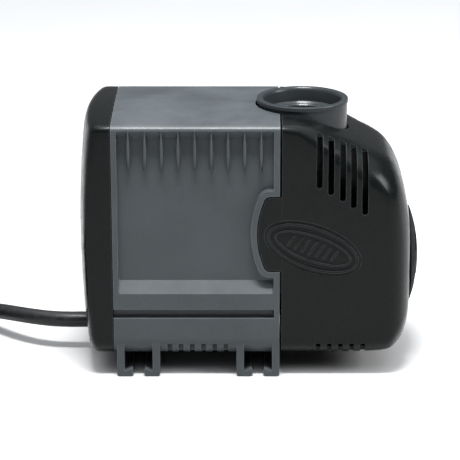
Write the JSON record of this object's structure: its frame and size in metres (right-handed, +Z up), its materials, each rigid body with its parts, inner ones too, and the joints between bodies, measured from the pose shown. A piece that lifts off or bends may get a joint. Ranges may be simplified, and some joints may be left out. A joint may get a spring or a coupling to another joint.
{
  "type": "aquarium circulation pump",
  "caption": "Submersible aquarium circulation pump with upright outlet, pull-off strainer cover, flow dial, channel feet and coiled mains cord.",
  "frame": {"origin": "middle of the pump's length and width, on the underside of the feet", "axes": "+X from the rear cap to the flow dial, +Z up along the outlet"},
  "size_m": [0.3079, 0.1192, 0.1198],
  "materials": {
    "housing_grey": "fine satin moulded plastic, slate grey",
    "cover_black": "semi-gloss moulded plastic, charcoal black",
    "chamber_grey": "satin moulded plastic, dark grey",
    "dial_black": "satin moulded plastic, black",
    "seal_rubber": "matt black rubber",
    "screw_steel": "plain stainless steel",
    "core_iron": "laminated silicon steel",
    "winding_copper": "enamelled copper wire",
    "bobbin_nylon": "natural nylon",
    "bearing_ceramic": "polished white ceramic",
    "magnet_ferrite": "dark grey sintered ferrite",
    "impeller_plastic": "pale grey moulded plastic",
    "potting_resin": "poured black epoxy resin",
    "cord_rubber": "black rubber cord jacket",
    "plug_brass": "plain brass contacts",
    "lead_brown": "brown wire insulation",
    "lead_blue": "blue wire insulation",
    "lead_green": "green wire insulation"
  },
  "bodies": {
    "pump": {"motor_housing": "housing_grey", "rear_cap": "cover_black", "rear_gasket": "seal_rubber", "cord_clamp": "bobbin_nylon", "clamp_screw_1": "screw_steel", "clamp_screw_2": "screw_steel", "stator_core": "core_iron", "coil_bobbin_1": "bobbin_nylon", "coil_bobbin_2": "bobbin_nylon", "coil_winding_1": "winding_copper", "coil_winding_2": "winding_copper", "potting_resin": "potting_resin", "rotor_well": "dial_black", "chamber_o_ring": "seal_rubber", "rotor_shaft": "bearing_ceramic", "rear_bushing": "seal_rubber", "front_bushing": "seal_rubber", "rear_thrust_washer": "bearing_ceramic", "front_thrust_washer": "bearing_ceramic", "pump_chamber": "chamber_grey", "inlet_bridge": "chamber_grey", "chamber_screw_1": "screw_steel", "chamber_screw_2": "screw_steel", "chamber_screw_3": "screw_steel", "chamber_screw_4": "screw_steel", "inner_lead_1": "lead_brown", "inner_lead_2": "lead_blue", "inner_lead_3": "lead_green", "power_cord": "cord_rubber", "cord_tail": "cord_rubber", "cord_coil": "cord_rubber", "cord_tie": "bobbin_nylon", "plug_body": "cord_rubber", "plug_blade_1": "plug_brass", "plug_blade_2": "plug_brass", "plug_ground_pin": "plug_brass"},
    "rotor": {"rotor_magnet": "magnet_ferrite", "impeller": "impeller_plastic"},
    "cover": {"strainer_cover": "cover_black"},
    "dial": {"flow_dial": "dial_black", "dial_shutter": "dial_black", "dial_screw": "screw_steel"}
  },
  "joints": [
    {"name": "rotor_spin", "type": "hinge", "parent": "pump", "child": "rotor", "pos_m": [-0.037, 0, 0.0465], "axis": [1, 0, 0], "continuous": true},
    {"name": "cover_slide", "type": "slide", "parent": "pump", "child": "cover", "axis": [1, 0, 0], "range_m": [0, 0.075]},
    {"name": "dial_turn", "type": "hinge", "parent": "cover", "child": "dial", "pos_m": [0.0716, 0, 0.0465], "axis": [1, 0, 0], "range_deg": [0, 45]}
  ]
}
